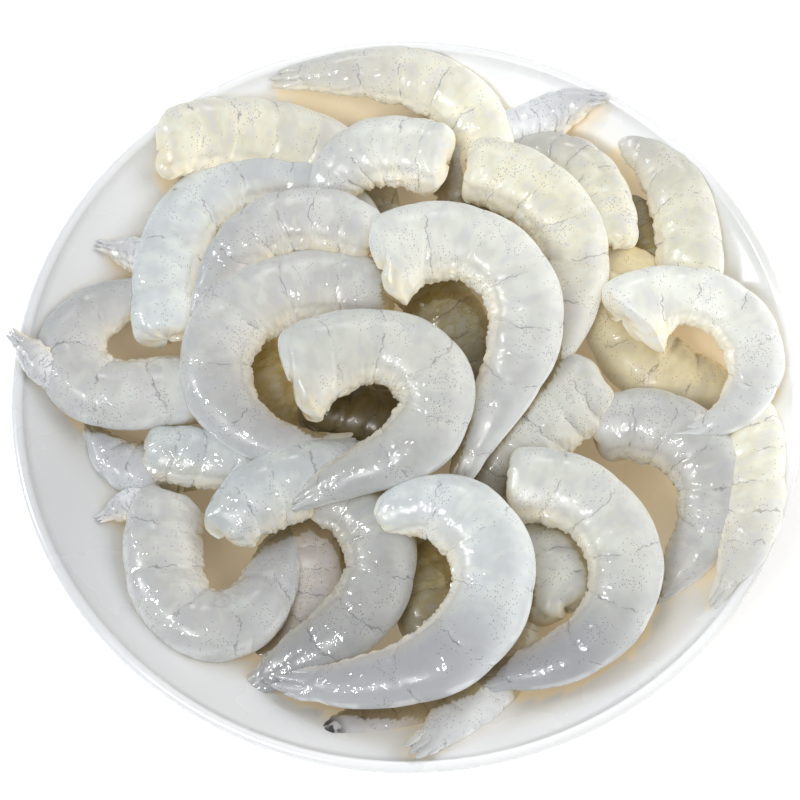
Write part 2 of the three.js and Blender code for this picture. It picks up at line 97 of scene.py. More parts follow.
# From the bottom of the heap to the top
HEAP = [
    shrimp("floor_left", "dark", (-40, 22), (11.8, 11.8, 11.8), -70, 72, (40, 70, 30), 18,
           neck=0.8, hidden=True, light=1.2),
    shrimp("floor_right", "dark", (38, -22), (11.8, 11.8, 11.8), 110, 72, (40, 70, 30), 18,
           neck=0.8, hidden=True, light=0.45),
    shrimp("floor_front", "dark", (-30, -40), (11.8, 11.8, 11.8), 10, 66, (-20, 40, 40), 17,
           neck=0.8, hidden=True, light=0.45),
    shrimp("front_left_under", "pink", (-26, -32), (16, 14, 13), -75, 42, (-20, -30, -55), 17,
           neck=0.8, light=0.6),
    shrimp("front_under", "dark", (-2, -33), (19, 18, 16), -65, 44, (-5, -15, 60), 18, neck=0.8, light=0.6),
    shrimp("back_under", "clear", (16, 44), (18, 20, 25), 60, 60, (60, 50, 20), 18, light=0.6),
    shrimp("back_right_under", "dark", (65, 32), (17, 17, 17), 75, 45, (25, 10, 55), 18,
           hidden=True, light=0.6),
    shrimp("left_wall_tail", "clear", (-53, -16), (13, 17, 21), 145, 33, (65, -65, -35), 15,
           neck=0.8, lean=10, fan=0.6, light=0.72, glitter=1.1),
    shrimp("dark_tail", "pink", (18, -66), (14, 18, 26), -125, 49, (-15, -35, 30), 14,
           neck=0.8, lean=10, fan=1, light=0.72, glitter=0.6, tips=1),
    shrimp("front_tail", "grey", (28, -54), (17, 21, 34), -100, 48, (-20, -10, -5), 16,
           neck=0.8, lean=10, fan=1, light=0.75, glitter=0.6),
    shrimp("back_right_tail", "clear", (24, 77), (22, 28, 35), 3, 27, (10, 10, -35), 13,
           neck=0.8, lean=10, fan=0.6, light=0.95),
    shrimp("left_edge_tail", "clear", (-88, 4), (29, 34, 38), 170, 13, (-25, -10, 10), 9.5,
           fan=1, light=0.8, glitter=0.9),
    shrimp("left_tip", "clear", (-66, 39), (23, 24, 27), 153, 13, (10, 10, 0), 10,
           fan=1, light=0.85, glitter=0.9),
    shrimp("front_left_tip", "clear", (-67, -25), (19, 20, 22), 205, 11, (5, 5, 0), 8,
           fan=1, light=0.85, glitter=0.9),
    shrimp("front_left_ring", "grey", (-60, -26), (18, 22, 14), -100, 79, (20, 155, 0), 21,
           neck=0.95, lean=18, light=0.64, glitter=1.1),
    shrimp("right_wall", "cream", (86, -4), (26, 30, 31), -80, 54, (-12, -13, -25), 17,
           lean=20, fan=0.5, light=0.91, glitter=0.2),
    shrimp("right_under", "cream", (59, 42), (22, 20, 20), -110, 60, (30, 65, -5), 22,
           light=1.0, sunk=0.6, tail=0, deepest=0.78, glitter=0.1),
    shrimp("inner_right", "white", (39, -55), (22, 21, 16), 115, 44, (-5, 30, 50), 20,
           neck=1, light=0.62, glitter=0.35),
    shrimp("back_left_block", "cream", (-63.5, 68), (33, 27, 18), 30, 69, (-30, -20, -50), 20,
           neck=0.95, lean=12, slant=0.7, light=0.83, glitter=0.15),
    shrimp("back_arch", "cream", (18, 63), (20, 29, 32), 60, 72, (85, 40, 0), 17.5,
           neck=1.1, lean=15, fan=0.8, light=0.91, glitter=0.4),
    shrimp("back_right_curl", "cream", (74, 27), (25, 28, 22), 95, 63, (-5, 35, 45), 18,
           neck=0.95, lean=18, light=0.81, glitter=0.22),
    shrimp("left_edge_curl", "grey", (-44, 5), (16, 28, 18), 175, 84, (35, -165, -30), 20,
           lean=10, light=0.68, glitter=0.6),
    shrimp("front_left_stub", "blue", (-65, -14), (23, 23, 18), -10, 50, (5, 0, -50), 16.5,
           light=0.64, glitter=1.1),
    shrimp("middle_right", "white", (49, 3), (25, 24, 18), -150, 48, (5, 30, 30), 22,
           neck=1.05, light=0.6, glitter=0.5),
    shrimp("centre_under_back", "dark", (-2, 39), (23, 24, 20), -40, 48, (-20, 10, -60), 18, light=0.7),
    shrimp("centre_under", "dark", (-25, 1), (22, 25, 20), -20, 42, (0, 15, -10), 18, light=0.3, sunk=0.3),
    shrimp("right_ring", "grey", (49, -8), (22, 26, 21), 20, 69, (-60, -75, -25), 19.5,
           lean=12, fan=0.4, light=0.62, tail=0, glitter=0.5),
    shrimp("back_block", "cream", (53, 42), (30, 29, 26), 90, 44, (20, 35, 40), 15.5,
           neck=1, fan=0.4, light=0.8, glitter=0.2),
    shrimp("front_speckled", "grey", (-23, -29), (27, 28, 20), 5, 73, (-95, -65, 10), 18.5,
           neck=0.8, fan=0.5, light=0.51, tail=0.75, glitter=0.6),
    shrimp("left_arch", "blue", (-62, 18), (25, 25, 24), 100, 90, (-30, -70, -45), 18.5,
           neck=0.95, light=0.78, tail=0.5, glitter=0.7),
    shrimp("back_lobes", "white", (9, 65), (31, 30, 24), 165, 40, (5, 55, 45), 20,
           neck=1.1, light=0.83, glitter=0.35),
    shrimp("torn_end", "blue", (-45, -37), (27, 28, 18), 55, 60, (-35, -20, -60), 20,
           neck=0.75, light=0.66, glitter=1.0),
    shrimp("big_left_curl", "grey", (-5, 26), (29, 29, 29), 155, 102, (50, 100, 75), 20,
           fan=0.4, light=0.71, tail=0.6, glitter=0.55),
    shrimp("back_right_arc", "cream", (17, 62.3), (31, 32, 24), -10, 72, (-40, -55, -10), 19.5,
           neck=1, lean=5, fan=0.3, light=0.86, tail=0.45, glitter=0.28, specks=0.6),
    shrimp("back_left_tail", "grey", (-10, 42), (33, 33, 28), 150, 55, (30, 50, 15), 17,
           fan=0.4, light=0.74, glitter=0.5),
    shrimp("right_hook", "white", (56, 20), (32, 34, 32), 40, 72, (-65, -80, -75), 16,
           neck=1.3, lean=5, slant=-0.1, flap=0.6, fan=0.6, light=0.9, glitter=0.2),
    shrimp("front_right_ring", "white", (27, -25), (31, 33, 26), 0, 88, (-60, -85, -40), 19,
           neck=0.95, lean=5, flap=0.3, fan=1, light=0.7, tail=1.15, glitter=0.36),
    shrimp("front_ring", "blue", (-5, -37), (36, 37, 26), 35, 100, (-120, -80, -30), 21,
           neck=0.55, lean=5, fan=0.8, light=0.79, tail=1.8, glitter=0.45),
    shrimp("back_ring", "white", (-5, 30), (41, 41, 30), 45, 91.5, (-85, -85, 10), 20.5,
           neck=1.2, slant=0.7, fan=0.4, light=0.78, tail=0.6, glitter=0.36),
    shrimp("centre_ring", "white", (-27.6, -1.6), (42, 42, 33), 45, 88, (-60, -150, 10), 20.5,
           neck=1.2, slant=0.75, flap=0.12, fan=0.4, light=0.66, tail=0.6, glitter=0.52),
]


def ramp(x, low, high):
    """0 below low, 1 above high, smooth between."""
    t = np.clip((x - low) / (high - low), 0, 1)
    return t * t * (3 - 2 * t)


# Smooth seeded noise on a lattice
NOISE_SIZE = 64
lattice = np.random.default_rng(7).uniform(-1, 1, (NOISE_SIZE, NOISE_SIZE, NOISE_SIZE))


def noise3(p):
    """Smooth noise between -1 and 1 at the rows of p, one feature per unit."""
    base = np.floor(p).astype(int)
    f = p - base
    f = f * f * (3 - 2 * f)
    total = np.zeros(len(p))
    for corner in range(8):
        step = np.array([corner & 1, corner >> 1 & 1, corner >> 2 & 1])
        weight = np.prod(np.where(step, f, 1 - f), axis=1)
        i, j, k = ((base + step) % NOISE_SIZE).T
        total += weight * lattice[i, j, k]
    return total


# One shrimp's body
def spine_of(row):
    """The middle line: three stretches with their own bend, and a height that runs through three values."""
    bends = row["bend"]
    step = row["length"] / SPINE_STEPS
    middle = (np.arange(SPINE_STEPS) + 0.5) / SPINE_STEPS
    turn = np.interp(middle, (0, 1 / 6, 1 / 2, 5 / 6, 1), (bends[0], *bends, bends[2])) * 3 / SPINE_STEPS
    start = row["heading"] + np.concatenate([[0], np.cumsum(turn)[:-1]])
    direction = np.radians(start + turn / 2)
    x = np.concatenate([[0], np.cumsum(np.cos(direction))]) * step + row["at"][0]
    y = np.concatenate([[0], np.cumsum(np.sin(direction))]) * step + row["at"][1]
    t = np.arange(SPINE_STEPS + 1) / SPINE_STEPS
    head, mid, tail = row["z"]
    z = head * (1 - t) * (1 - 2 * t) + mid * 4 * t * (1 - t) + tail * t * (2 * t - 1)
    return np.stack([x, y, z], axis=1)


def frames_at(row, spine, s):
    """Points on the middle line and the directions to the back, the side and along the body."""
    t = np.linspace(0, 1, SPINE_STEPS + 1)
    inside = np.clip(s, 0, 1)
    point = np.stack([np.interp(inside, t, spine[:, i]) for i in range(3)], axis=1)
    slope = np.gradient(spine, axis=0)
    slope /= np.linalg.norm(slope, axis=1, keepdims=True)
    along = np.stack([np.interp(inside, t, slope[:, i]) for i in range(3)], axis=1)
    along /= np.linalg.norm(along, axis=1, keepdims=True)
    point = point + along * ((s - inside) * row["length"])[:, None]
    hand = 1 if sum(row["bend"]) > 0 else -1
    out = np.cross(along, (0, 0, 1)) * hand
    out /= np.linalg.norm(out, axis=1, keepdims=True)
    over = np.cross(out, along) * hand
    lean = math.radians(row["lean"])
    back = out * math.cos(lean) + over * math.sin(lean)
    side = over * math.cos(lean) - out * math.sin(lean)
    return point, back, side, along


def half_depth(row, s):
    """Half depth and half width of the body along s, in millimetres, tail stub included."""
    s = np.asarray(s, float)
    neck = row["neck"] + (1 - row["neck"]) * np.clip(s / NECK_LENGTH, 0, 1)
    taper = np.interp(s, [a for a, _ in TAPER], [b for _, b in TAPER])
    depth = taper * neck * row["girth"] / 2
    side = depth * SIDE_THICKNESS
    stub = SEGMENT_STARTS[-1]
    at_stub = np.interp(stub, [a for a, _ in TAPER], [b for _, b in TAPER]) * row["girth"] / 2 * STUB_SHARE
    share = [c[0] + c[1] * row["fan"] for c in (STUB_MIDDLE[0], STUB_END[0], STUB_MIDDLE[1], STUB_END[1])]
    places = (stub, (1 + stub) / 2, 1)
    stub_depth = at_stub * np.interp(s, places, (1, share[0], share[1]))
    stub_side = at_stub * SIDE_THICKNESS * np.interp(s, places, (1, share[2], share[3]))
    mix = ramp(s, stub - 0.02, stub + 0.01)
    return depth * (1 - mix) + stub_depth * mix, side * (1 - mix) + stub_side * mix


# In millimetres. LEAF_SHARE is a share of the girth, LEG_FURROW_ANGLE and LEG_FURROW_WIDTH are in radians,
# and LEG_FURROW_END is a share of the length. The second numbers in CAP are shares of the body's width.
RING_STEP = 0.6
CAP = ((0, 1), (0.6, 0.985), (1.2, 0.955), (1.8, 0.905), (2.35, 0.835),
       (2.8, 0.74), (3.1, 0.62), (3.25, 0.47), (3.2, 0.3), (3.1, 0.12))
CAP_INSET = 1.8
TAIL_CAP_DEPTH = 0.45
CUT_RAGGED_REACH = 7
CUT_RAGGED, CUT_RAGGED_FINE = 1.5, 0.35
LEAF_SHARE = 0.28
BORDER_CURVE, BORDER_WAVE = 1.3, 0.8
CREASE_WIDTH = 0.75
CREASE_DEPTH, CREASE_DEPTH_INSIDE = 0.08, 0.35
SEGMENT_BULGE = 0.35
SKIN_INSET = 0.15
LUMPS, SMALL_LUMPS = 0.45, 0.12
BELLY_FRINGE, BELLY_FRINGE_LOSS, BELLY_WAVES = 0.7, 0.2, 0.35
LEG_FURROW_DEPTH, LEG_FURROW_ANGLE, LEG_FURROW_WIDTH = 0.5, 0.62, 0.16
LEG_FURROW_END = 0.8
SEED_STEP = 11.3


def body_mesh(row, index):
    """The closed body: cut head end, six segments with creases, ragged belly edge, tail stub."""
    coarser = 2 if row["hidden"] else 1
    sides = 72 // coarser
    rings = int(row["length"] / (RING_STEP * coarser))
    spine = spine_of(row)
    length = row["length"]
    # rings from the head cap, along the body, to the tail cap
    s_list, shrink = [], []
    for off, scale in reversed(CAP):
        s_list.append((CAP_INSET - off) / length)
        shrink.append(scale)
    for s in np.linspace(CAP_INSET / length, 1, rings + 1)[1:]:
        s_list.append(s)
        shrink.append(1.0)
    for off, scale in CAP[1:]:
        s_list.append(1 + off * TAIL_CAP_DEPTH / length)
        shrink.append(scale)
    s = np.array(s_list)
    shrink = np.array(shrink)
    angle = np.arange(sides) * 2 * math.pi / sides
    S, A = np.meshgrid(s, angle, indexing="ij")
    K = np.repeat(shrink[:, None], sides, axis=1)
    cos, sin = np.cos(A), np.sin(A)
    seed = index * SEED_STEP
    mm = S * length

    def noise(scale, shift=0.0):
        # noise that runs round the body without a seam
        q = np.stack([mm / scale + seed, cos * row["girth"] / 2 / scale + 20 + shift,
                      sin * row["girth"] / 2.6 / scale + 40 + shift], axis=-1)
        return noise3(q.reshape(-1, 3)).reshape(S.shape)

    # the cut end is uneven: it runs forward and back round the body
    cut = ramp(-S * length, -CUT_RAGGED_REACH, 0)
    jag = (noise(5, 3.1) * CUT_RAGGED + noise(2.2, 5.7) * CUT_RAGGED_FINE) * cut
    # the tail stub ends in three pointed leaves where the fan is left on
    leaf = np.abs(np.cos(1.5 * math.pi * cos * K + 0.4)) ** 0.7 - 0.45
    jag += leaf * LEAF_SHARE * row["girth"] * row["fan"] * ramp(S, SEGMENT_STARTS[-1] + 0.01, 1.0)
    depth, side = half_depth(row, np.clip(s, 0, 1))
    D = np.repeat(depth[:, None], sides, axis=1) * K
    W = np.repeat(side[:, None], sides, axis=1) * K
    # segment borders are curved: further back on the sides than along the back and belly
    shifted = mm + BORDER_CURVE * np.cos(2 * A) + noise(6, 9.2) * BORDER_WAVE
    crease = np.zeros_like(S)
    bulge = np.zeros_like(S)
    for i in range(1, len(SEGMENT_STARTS)):
        at = SEGMENT_STARTS[i] * length
        crease = np.maximum(crease, np.exp(-((shifted - at) / CREASE_WIDTH) ** 2))
        before = SEGMENT_STARTS[i - 1] * length
        t = np.clip((shifted - before) / (at - before), 0, 1)
        bulge = np.maximum(bulge, np.sin(math.pi * t) ** 0.7 * ((shifted >= before) & (shifted <= at)))
    belly = ramp(-cos, 0.55, 0.95)
    flank = 1 - np.abs(cos) * 0.5
    inner = ramp(-cos, -0.2, 0.9)
    move = SEGMENT_BULGE * bulge - crease * (CREASE_DEPTH + CREASE_DEPTH_INSIDE * inner) * flank - SKIN_INSET
    move += noise(11, 1.0) * LUMPS + noise(4, 2.0) * SMALL_LUMPS
    fringe = np.abs(noise(1.4, 6.0)) * BELLY_FRINGE - BELLY_FRINGE_LOSS + noise(3.2, 8.0) * BELLY_WAVES
    move += belly * fringe
    # two shallow furrows where the legs were pulled off
    furrow = np.exp(-((np.abs(A - math.pi) - LEG_FURROW_ANGLE) / LEG_FURROW_WIDTH) ** 2)
    move -= LEG_FURROW_DEPTH * furrow * ramp(LEG_FURROW_END - S, 0, 0.2)
    move *= np.clip(D / 5, 0.25, 1) * K
    cut = np.clip(1 - S / CUT_LENGTH, 0, 1)
    outward = cos * D * np.where(cos < 0, BELLY_SHARE * (1 + row["flap"] * cut), 1)
    jag += outward * row["slant"] * cut * (1 - CORNER_LOSS * cos ** 2)
    sideways = sin * W * (1 + BACK_BROADENING * cos)
    radial = np.sqrt(outward ** 2 + sideways ** 2) + 1e-6
    outward *= 1 + move / radial
    sideways *= 1 + move / radial
    point, back, side_dir, along = frames_at(row, spine, s)
    P = (point[:, None] + back[:, None] * outward[..., None] + side_dir[:, None] * sideways[..., None]
         + along[:, None] * jag[..., None])
    n = len(s)
    verts = np.concatenate([P.reshape(-1, 3), P[0].mean(0)[None], P[-1].mean(0)[None]])
    r, k = np.meshgrid(np.arange(n - 1), np.arange(sides), indexing="ij")
    a = r * sides + k
    b = r * sides + (k + 1) % sides
    quads = np.stack([a, a + sides, b + sides, b], axis=-1).reshape(-1, 4).tolist()
    k = np.arange(sides)
    first, last = n * sides, n * sides + 1
    caps = [(first, int(i), int((i + 1) % sides)) for i in k]
    end = (n - 1) * sides
    caps += [(last, int(end + (i + 1) % sides), int(end + i)) for i in k]
    faces = quads + caps
    if sum(row["bend"]) <= 0:
        faces = [tuple(reversed(f)) for f in faces]
    return verts, faces


def mesh_object(name, verts, faces):
    mesh = bpy.data.meshes.new(name)
    mesh.from_pydata((np.asarray(verts) * MM).tolist(), [], faces)
    mesh.update()
    obj = bpy.data.objects.new(name, mesh)
    bpy.context.scene.collection.objects.link(obj)
    return obj


def coordinates(mesh):
    co = np.empty(len(mesh.vertices) * 3, np.float32)
    mesh.vertices.foreach_get("co", co)
    return co.reshape(-1, 3).astype(float) / MM


def outward_normals(obj):
    """Turns the faces outward where the body's volume comes out negative."""
    bm = bmesh.new()
    bm.from_mesh(obj.data)
    if bm.calc_volume(signed=True) < 0:
        bmesh.ops.reverse_faces(bm, faces=bm.faces[:])
    bm.to_mesh(obj.data)
    bm.free()


def swollen(obj, by):
    """A copy of the object, grown outward all round."""
    mesh = obj.data
    normals = np.empty(len(mesh.vertices) * 3, np.float32)
    mesh.vertex_normals.foreach_get("vector", normals)
    co = coordinates(mesh) + normals.reshape(-1, 3) * by
    copy = obj.copy()
    copy.data = mesh.copy()
    copy.data.vertices.foreach_set("co", (co * MM).astype(np.float32).ravel())
    bpy.context.scene.collection.objects.link(copy)
    return copy


def dish_floor(radius):
    """The height of the dish's inside at a radius: flat, then a bowl's curve up to the rim."""
    climb = np.maximum(0, (radius - FLOOR_RADIUS) / (BORE_RADIUS - FLOOR_RADIUS))
    return FLOOR_HEIGHT + (RIM_HEIGHT - LIP_RADIUS - FLOOR_HEIGHT) * climb ** 2


def lathe(name, outline, segments):
    """A turned solid from a half outline that starts and ends on the axis."""
    outline = np.array(outline)
    ring = outline[1:-1]
    turn = np.arange(segments) * 2 * math.pi / segments
    verts = [(0, 0, outline[0, 1])]
    for radius, z in ring:
        verts += [(radius * math.cos(t), radius * math.sin(t), z) for t in turn]
    verts.append((0, 0, outline[-1, 1]))
    faces = [(0, 1 + (k + 1) % segments, 1 + k) for k in range(segments)]
    for r in range(len(ring) - 1):
        for k in range(segments):
            a = 1 + r * segments + k
            b = 1 + r * segments + (k + 1) % segments
            faces.append((a, b, b + segments, a + segments))
    top = 1 + (len(ring) - 1) * segments
    faces += [(len(verts) - 1, top + k, top + (k + 1) % segments) for k in range(segments)]
    obj = mesh_object(name, verts, faces)
    outward_normals(obj)
    return obj


def dish_outline():
    inner = [(r, float(dish_floor(r))) for r in np.linspace(2, BORE_RADIUS, 64)]
    outer = [(r + OUTER_SPREAD, float(dish_floor(r)) - WALL)
             for r in np.linspace(WALL_START_RADIUS, BORE_RADIUS, 24)]
    lip = [(RIM_RADIUS + LIP_RADIUS * (math.cos(t) - 1), RIM_HEIGHT + LIP_RADIUS * (math.sin(t) - 1))
           for t in np.linspace(0, math.pi, 11)[:-1]]
    foot = [(0, FOOT_RECESS), (30, FOOT_RECESS), (FOOT_INNER - 1.2, FOOT_RECESS),
            (FOOT_INNER - 0.4, FOOT_RECESS - 0.4), (FOOT_INNER, 0.5), (FOOT_INNER + 0.5, 0),
            (FOOT_OUTER - 0.5, 0), (FOOT_OUTER, 0.5), (FOOT_OUTER + 0.6, FOOT_RECESS - 0.4),
            (FOOT_OUTER + 1.6, FOOT_RECESS + 0.1)]
    return foot + outer + lip + inner[::-1] + [(0, FLOOR_HEIGHT)]


def bed_outline():
    """A block under the dish's inside, a contact gap higher, that dents whatever lies on the dish."""
    gap = CONTACT_GAP
    floor = [(r, float(dish_floor(r)) + gap) for r in np.linspace(20, BORE_RADIUS - 1, 24)]
    reach, bottom, top = RIM_RADIUS + 8, -20, RIM_HEIGHT + gap
    block = [(0, bottom), (reach, bottom), (reach, top), (BORE_RADIUS, top)]
    return block + floor[::-1] + [(0, FLOOR_HEIGHT + gap)]


def largest_island(mesh):
    """Deletes everything but the piece with the most corners."""
    n = len(mesh.vertices)
    edges = np.empty(len(mesh.edges) * 2, np.int32)
    mesh.edges.foreach_get("vertices", edges)
    edges = edges.reshape(-1, 2)
    label = np.arange(n)
    while True:
        new = label.copy()
        low = np.minimum(label[edges[:, 0]], label[edges[:, 1]])
        np.minimum.at(new, edges[:, 0], low)
        np.minimum.at(new, edges[:, 1], low)
        np.minimum.at(new, label[edges[:, 0]], low)
        np.minimum.at(new, label[edges[:, 1]], low)
        new = new[new[new]]
        if (new == label).all():
            break
        label = new
    values, counts = np.unique(label, return_counts=True)
    keep = values[counts.argmax()]
    if len(values) > 1:
        bm = bmesh.new()
        bm.from_mesh(mesh)
        bm.verts.ensure_lookup_table()
        drop = [bm.verts[i] for i in np.nonzero(label != keep)[0]]
        bmesh.ops.delete(bm, geom=drop, context="VERTS")
        bm.to_mesh(mesh)
        bm.free()


def box_of(co):
    return co.min(0), co.max(0)


def overlap(a, b):
    return bool((a[0] < b[1]).all() and (b[0] < a[1]).all())


# Build the heap
bed = lathe("bed", bed_outline(), 96)
bodies = []
for i, row in enumerate(HEAP):
    verts, faces = body_mesh(row, i)
    obj = mesh_object("shrimp_" + row["node"], verts, faces)
    outward_normals(obj)
    bodies.append(obj)
cutters = [swollen(o, CONTACT_GAP) for o in bodies]
boxes = [box_of(coordinates(c.data)) for c in cutters]


def dent(i):
    """Presses the bed and every later shrimp's shape into shrimp i."""
    obj = bodies[i]
    tools = [bed] + [cutters[j] for j in range(i + 1, len(bodies)) if overlap(boxes[i], boxes[j])]
    for k, tool in enumerate(tools):
        cut = obj.modifiers.new(f"cut{k}", "BOOLEAN")
        cut.operation = "DIFFERENCE"
        cut.solver = "MANIFOLD"
        cut.object = tool
    graph = bpy.context.evaluated_depsgraph_get()
    mesh = bpy.data.meshes.new_from_object(obj.evaluated_get(graph))
    obj.modifiers.clear()
    if len(mesh.vertices) < 100:
        print("WARNING: nothing left of", obj.name)
        return
    largest_island(mesh)
    old = obj.data
    obj.data = mesh
    bpy.data.meshes.remove(old)
    mesh.name = obj.name


for i in range(len(bodies)):
    dent(i)
for tool in cutters + [bed]:
    data = tool.data
    bpy.data.objects.remove(tool)
    bpy.data.meshes.remove(data)

# What the materials read: values at each corner
GRID = 0.8
GRID_REACH = 112
half = int(GRID_REACH / GRID)
steps = np.arange(-half, half + 1) * GRID
gx, gy = np.meshgrid(steps, steps, indexing="ij")
radius = np.hypot(gx, gy)
dish_heights = np.where(radius < RIM_RADIUS - 2, dish_floor(np.minimum(radius, BORE_RADIUS)), 0.0)


def cells(xy):
    """The cells of the height grid that hold the points."""
    ij = np.clip(np.round(xy / GRID).astype(int) + half, 0, 2 * half)
    return ij[:, 0], ij[:, 1]


shrimp_heights = np.zeros_like(dish_heights)
all_co = [coordinates(o.data) for o in bodies]
for co in all_co:
    np.maximum.at(shrimp_heights, cells(co[:, :2]), co[:, 2])
heights = np.maximum(dish_heights, shrimp_heights)
AZIMUTHS = 14
REACH = (1.6, 2.6, 4, 6, 8.5, 12, 17, 23)
SKIN = 0.4
STEEP = 0.35


def sky(co):
    """For each point, how much of the sky is hidden, and how far round it the shrimp stand; 0 to 1."""
    hidden, closed = np.zeros(len(co)), np.zeros(len(co))
    for a in np.arange(AZIMUTHS) * 2 * math.pi / AZIMUTHS:
        best, stands = np.zeros(len(co)), np.zeros(len(co), bool)
        for d in REACH:
            there = cells(co[:, :2] + d * np.array([math.cos(a), math.sin(a)]))
            rise = heights[there] - co[:, 2] - SKIN
            best = np.maximum(best, rise / np.hypot(rise, d))
            stands |= shrimp_heights[there] - co[:, 2] > STEEP * d
        hidden += np.clip(best, 0, 1) ** 2
        closed += stands
    covered = ramp(heights[cells(co[:, :2])] - co[:, 2], 3.0, 8.0)
    hidden = np.maximum(hidden / AZIMUTHS, covered * 0.9)
    return hidden, np.maximum(ramp(closed / AZIMUTHS, 0.65, 0.95), covered)


def store(mesh, name, values):
    attribute = mesh.attributes.new(name, "FLOAT", "POINT")
    attribute.data.foreach_set("value", np.asarray(values, np.float32))


def store_vector(mesh, name, values):
    attribute = mesh.attributes.new(name, "FLOAT_VECTOR", "POINT")
    attribute.data.foreach_set("vector", np.asarray(values, np.float32).ravel())


FINE_STEPS = 240
BATCH = 4000


def body_values(row, co):
    """Place along the body, across it to the back and the side, angle round it, and distance to a border."""
    spine = spine_of(row)
    fine_t = np.linspace(0, 1, FINE_STEPS + 1)
    coarse_t = np.linspace(0, 1, SPINE_STEPS + 1)
    fine = np.stack([np.interp(fine_t, coarse_t, spine[:, i]) for i in range(3)], axis=1)
    s = np.empty(len(co))
    for start in range(0, len(co), BATCH):
        part = co[start:start + BATCH]
        gap = ((part[:, None] - fine[None]) ** 2).sum(2)
        s[start:start + BATCH] = fine_t[gap.argmin(1)]
    point, back, side_dir, along = frames_at(row, spine, s)
    off = co - point
    ahead = (off * along).sum(1)
    s = s + ahead / row["length"]
    depth, side = half_depth(row, np.clip(s, 0, 1))
    u = (off * back).sum(1) / np.maximum(depth, 1)
    v = (off * side_dir).sum(1) / np.maximum(side, 1)
    angle = np.arctan2(v, u)
    shifted = s * row["length"] + BORDER_CURVE * np.cos(2 * angle)
    borders = np.array(SEGMENT_STARTS[1:]) * row["length"]
    signed = shifted[:, None] - borders[None]
    nearest = np.abs(signed).argmin(1)
    return s, u, v, angle, signed[np.arange(len(co)), nearest]


for i, (obj, row) in enumerate(zip(bodies, HEAP)):
    co = all_co[i]
    s, u, v, angle, border = body_values(row, co)
    mesh = obj.data
    store(mesh, "round", np.cos(angle))
    store(mesh, "border", border)
    store(mesh, "cut_end", ramp(-s * row["length"], -0.6, 0.9))
    store(mesh, "belly", ramp(-u, 0.62, 0.98))
    # painted shade: the hidden share of the sky, plus each shrimp's added share, at most its shade cap
    store(mesh, "shade", np.minimum(sky(co)[0] + row["sunk"], row["deepest"]))
    # light: each shrimp's brightness, partly its own tone and partly painted light and shade for where it
    # lies in the heap
    for name in ("specks", "glitter", "light"):
        store(mesh, name, np.full(len(co), row[name]))
    # the tail half's own grey; a tail share above 1 greys more of the body, painted shade on its low end
    store(mesh, "tail", ramp(s, 0.3, 0.85) * row["tail"])
    store(mesh, "tips", ramp(s, 0.82, 0.9) * row["tips"])
    # millimetres along, and about millimetres across, far enough apart that no two shrimp share their noise
    store_vector(mesh, "body", np.stack([s * row["length"], u * 8, v * 8], axis=1) + i * 37)
    mesh.shade_smooth()
    mesh.set_sharp_from_angle(angle=math.radians(50))

# Materials
FLESH = {
    "white": (0.775, 0.78, 0.715),
    "grey": (0.675, 0.67, 0.64),
    "blue": (0.655, 0.695, 0.69),
    "cream": (0.765, 0.73, 0.575),
    "pink": (0.68, 0.61, 0.56),
    "clear": (0.66, 0.67, 0.68),
    # dark: a brown tone for the pieces low in the heap, painted shade
    "dark": (0.50, 0.43, 0.20),
}


